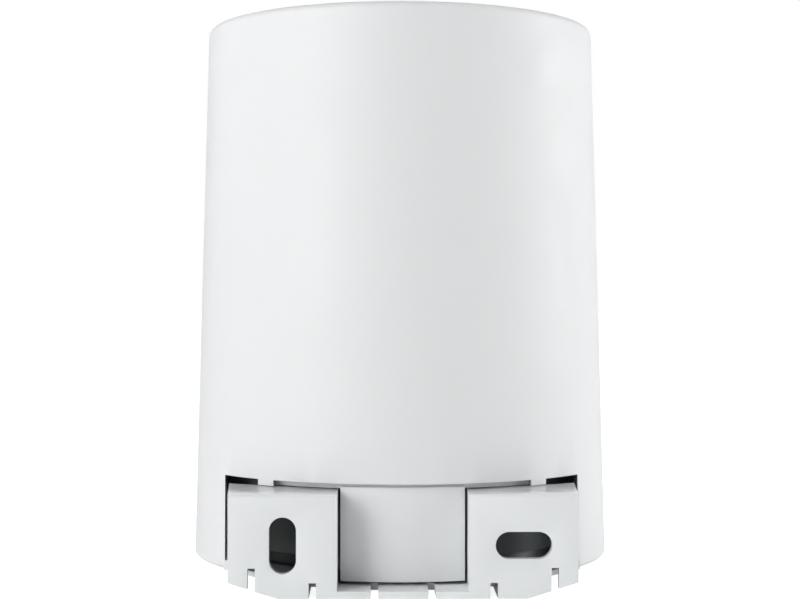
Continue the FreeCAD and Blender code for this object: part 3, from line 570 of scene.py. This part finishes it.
def chip_span(x, z, half_length, half_width, level):
    """Low and high ends across, then low and high ends up, of a box that lies level or upright."""
    half_x, half_z = (half_length, half_width) if level else (half_width, half_length)
    return x - half_x, x + half_x, z - half_z, z + half_z


def surface_parts():
    """Small resistors and capacitors on the board's front, level or upright, with tinned ends."""
    for name, spots, height, material, slot in (
        ("chip_resistors", CHIP_RESISTORS, 0.45, "component_black", "component_black"),
        ("chip_capacitors", CHIP_CAPACITORS, 0.75, "ceramic_tan", "white_nylon"),
    ):
        front = BOARD_FRONT - height
        bodies, ends = [], []
        for x, z, level in spots:
            x0, x1, z0, z1 = chip_span(x, z, CHIP_HALF_LENGTH - CHIP_END, CHIP_HALF_WIDTH, level)
            bodies.append(((x0, front, z0), (x1, BOARD_FRONT, z1)))
            for side in (-1, 1):
                shift = side * (CHIP_HALF_LENGTH - CHIP_END / 2)
                end_x, end_z = (x + shift, z) if level else (x, z + shift)
                x0, x1, z0, z1 = chip_span(end_x, end_z, CHIP_END_HALF, CHIP_HALF_WIDTH, level)
                ends.append(((x0, front - CHIP_END_PROUD, z0), (x1, BOARD_FRONT, z1)))
        boxes(name, bodies, material, CHIP_ROUND)
        boxes(name + "_ends", ends, "solder", CHIP_ROUND)


# Distance from the joint's axis and height above the board, in millimetres
SOLDER_PROFILE = ((0.95, 0.0), (0.72, 0.18), (0.48, 0.5), (0.34, 0.85), (0.18, 0.98))
SOLDER_SIDES = 12

# Where the pins of each part come through the board, across and up
RELAY_PINS = ((-2.5, 54.5), (2.5, 54.5), (0.0, 60.0), (-2.5, 66.5), (2.5, 66.5))
SOLDER_SPOTS = (
    *((5.5 * (k - 2.5), 44.0) for k in range(6)),
    *((x + step, z) for x in (-13.3, -4.6) for step, z in RELAY_PINS),
    *((x + step, 57.5) for x in (5.4, 14.2) for step in (-1.75, 1.75)),
    *((10.0 + step, 73.0) for step in (-2.5, 0.0, 2.5)),
    *((step, 78.0) for step in (-1.27, 1.27)),
)


def solder_joints():
    """Soldered pins on the back of the board, each a small flared cone."""
    vertices, faces = [], []
    sides = range(SOLDER_SIDES)
    for x, z in SOLDER_SPOTS:
        first = len(vertices)
        for reach, height in SOLDER_PROFILE:
            for k in sides:
                turn = 2 * math.pi * k / SOLDER_SIDES
                at = (x + reach * math.cos(turn), BOARD_BACK + height, z + reach * math.sin(turn))
                vertices.append(Vector(at) * MM)
        rings = [first + ring * SOLDER_SIDES for ring in range(len(SOLDER_PROFILE))]
        for low, high in zip(rings, rings[1:]):
            for k in sides:
                turn = (k + 1) % SOLDER_SIDES
                faces.append((low + k, high + k, high + turn, low + turn))
        faces.append(tuple(rings[-1] + k for k in reversed(sides)))
        faces.append(tuple(first + k for k in sides))
    piece = mesh_piece("solder_joints", vertices, faces, "solder", "base")
    round_edges(piece, 0.0)


# Angles in degrees, sizes in millimetres
REST_ANGLE = -135.0
DIAL_TRAVELS = (0, 30, 60, 90)
DIAL_REACH = 16.6
TICK_HEIGHT = 0.2
NUMBER_SIZE = 2.6
NUMBER_DEPTH = 0.08
NUMBER_PROUD = 0.02


def dial_numbers():
    """Degrees of travel round the dial, raised a little above it."""
    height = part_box("dial_ring")[1].z - TICK_HEIGHT * MM + NUMBER_PROUD * MM
    for travel in DIAL_TRAVELS:
        name = f"dial_number_{travel}"
        text = bpy.data.curves.new(name, "FONT")
        text.body = str(travel)
        text.size = NUMBER_SIZE * MM
        text.extrude = NUMBER_DEPTH * MM
        text.align_x = "CENTER"
        text.align_y = "CENTER"
        text.resolution_u = 4
        piece = show(name, drawn_mesh(name, text), "black_plastic")
        angle = math.radians(REST_ANGLE + travel)
        reach = DIAL_REACH * MM
        piece.location = (reach * math.cos(angle), reach * math.sin(angle), height)
        piece.rotation_euler = (0, 0, angle + math.pi / 2)
        bpy.context.view_layer.update()
        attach(piece, "cover")


# Studio

# Reach in metres from the middle to each edge, and gap in millimetres below the housing
FLOOR_REACH = 6.0
FLOOR_GAP = 0.02


def floor():
    """A pale floor that runs out of sight and looks whiter to the camera than it shines."""
    mesh = bpy.data.meshes.new("floor")
    corners = [(x * FLOOR_REACH, y * FLOOR_REACH, 0) for x, y in ((-1, -1), (1, -1), (1, 1), (-1, 1))]
    mesh.from_pydata(corners, [], [(0, 1, 2, 3)])
    piece = bpy.data.objects.new("floor", mesh)
    bpy.context.scene.collection.objects.link(piece)
    shader = Shader("floor_white", 0.6)
    clouds = shader.spread(shader.noise(3.0), 0.0, 1.0)
    shader.colour(shader.mix(clouds, (0.90, 0.90, 0.90), (0.93, 0.93, 0.93)))
    shader.bsdf.inputs["Emission Color"].default_value = (1.0, 1.0, 1.0, 1.0)
    seen = shader.add("ShaderNodeLightPath")
    glow = shader.spread(seen.outputs["Is Camera Ray"], FLOOR_GLOW, FLOOR_GLOW_SEEN, 0.0, 1.0)
    shader.link(glow, shader.bsdf.inputs["Emission Strength"])
    mesh.materials.append(shader.material)
    piece.location.z = cad_box[0].z - FLOOR_GAP * MM


def sky():
    """Surroundings that look white to the camera and shine less, mostly from behind the housing."""
    world = bpy.data.worlds.new("studio")
    bpy.context.scene.world = world
    world.use_nodes = True
    tree = world.node_tree
    background = tree.nodes["Background"]
    background.inputs["Color"].default_value = (1.0, 1.0, 1.0, 1.0)
    place = tree.nodes.new("ShaderNodeTexCoord")
    split = tree.nodes.new("ShaderNodeSeparateXYZ")
    fade = tree.nodes.new("ShaderNodeMapRange")
    fade.interpolation_type = "SMOOTHSTEP"
    fade.inputs["From Max"].default_value = SKY_FADE_END
    fade.inputs["To Min"].default_value = SKY_BACK
    fade.inputs["To Max"].default_value = SKY_FRONT
    seen = tree.nodes.new("ShaderNodeLightPath")
    strength = tree.nodes.new("ShaderNodeMath")
    strength.operation = "MAXIMUM"
    tree.links.new(place.outputs["Generated"], split.inputs["Vector"])
    tree.links.new(split.outputs["Y"], fade.inputs["Value"])
    tree.links.new(fade.outputs["Result"], strength.inputs[0])
    tree.links.new(seen.outputs["Is Camera Ray"], strength.inputs[1])
    tree.links.new(strength.outputs["Value"], background.inputs["Strength"])


def panel_light(name, place, target, size, power):
    """A rectangular soft light at a place, facing a target."""
    light = bpy.data.lights.new(name, "AREA")
    light.shape = "RECTANGLE"
    light.size, light.size_y = size
    light.energy = power
    lamp = bpy.data.objects.new(name, light)
    bpy.context.scene.collection.objects.link(lamp)
    lamp.location = place
    lamp.rotation_euler = (target - place).to_track_quat("-Z", "Y").to_euler()


# Azimuth from +Y towards +X and elevation in degrees, size in metres, power in watts
LIGHTS = {
    "side_left": (48, 12, (0.6, 0.9), 7.3),
    "high_left": (45, 35, (0.6, 0.6), 3.9),
    "side_right": (-95, 12, (0.6, 0.9), 7.8),
    "front_right": (-70, 12, (0.6, 0.9), 3.5),
    "rear_right": (-125, 12, (0.6, 0.9), 1.3),
    "rear_left": (120, 20, (0.6, 0.6), 1.1),
    "low_front": (10, 5, (0.5, 0.5), 0.9),
    "top": (0, 89, (1.2, 1.2), 0.5),
}
LIGHT_DISTANCE = 1.2
LIGHT_HEIGHT = 0.05

# Strength of the surroundings behind the housing and in front, and where it stops fading towards +Y
SKY_BACK = 0.35
SKY_FRONT = 0.0
SKY_FADE_END = 0.6

# The floor's glow as light, and as the camera sees it
FLOOR_GLOW = 0.1
FLOOR_GLOW_SEEN = 0.85


def studio():
    """Floor, surroundings and soft lights that all face the middle of the housing."""
    floor()
    sky()
    middle = Vector((0, 0, LIGHT_HEIGHT))
    for name, (azimuth, elevation, size, power) in LIGHTS.items():
        turn, rise = math.radians(azimuth), math.radians(elevation)
        level = math.cos(rise)
        way = Vector((math.sin(turn) * level, math.cos(turn) * level, math.sin(rise)))
        panel_light(name, middle + way * LIGHT_DISTANCE, middle, size, power)


# In millimetres
EYE = (4.0, 315.8, 49.5)
AIM = (0.0, 0.0, 49.5)
LENS = 74.1
SENSOR_WIDTH = 36.0


def camera():
    """Level with the middle of the housing, behind it, a little to one side."""
    data = bpy.data.cameras.new("camera")
    data.lens = LENS
    data.sensor_width = SENSOR_WIDTH
    data.clip_start = 0.01
    data.clip_end = 20.0
    eye = bpy.data.objects.new("camera", data)
    bpy.context.scene.collection.objects.link(eye)
    eye.location = Vector(EYE) * MM
    eye.rotation_euler = (Vector(AIM) - Vector(EYE)).to_track_quat("-Z", "Y").to_euler()
    bpy.context.scene.camera = eye


bpy.context.scene.view_settings.view_transform = "Standard"
paint_nodes()
finish_nodes()
spring("clutch_spring", 7)
spring("release_spring", 6)
motor_leads()
surface_parts()
solder_joints()
dial_numbers()
studio()
camera()
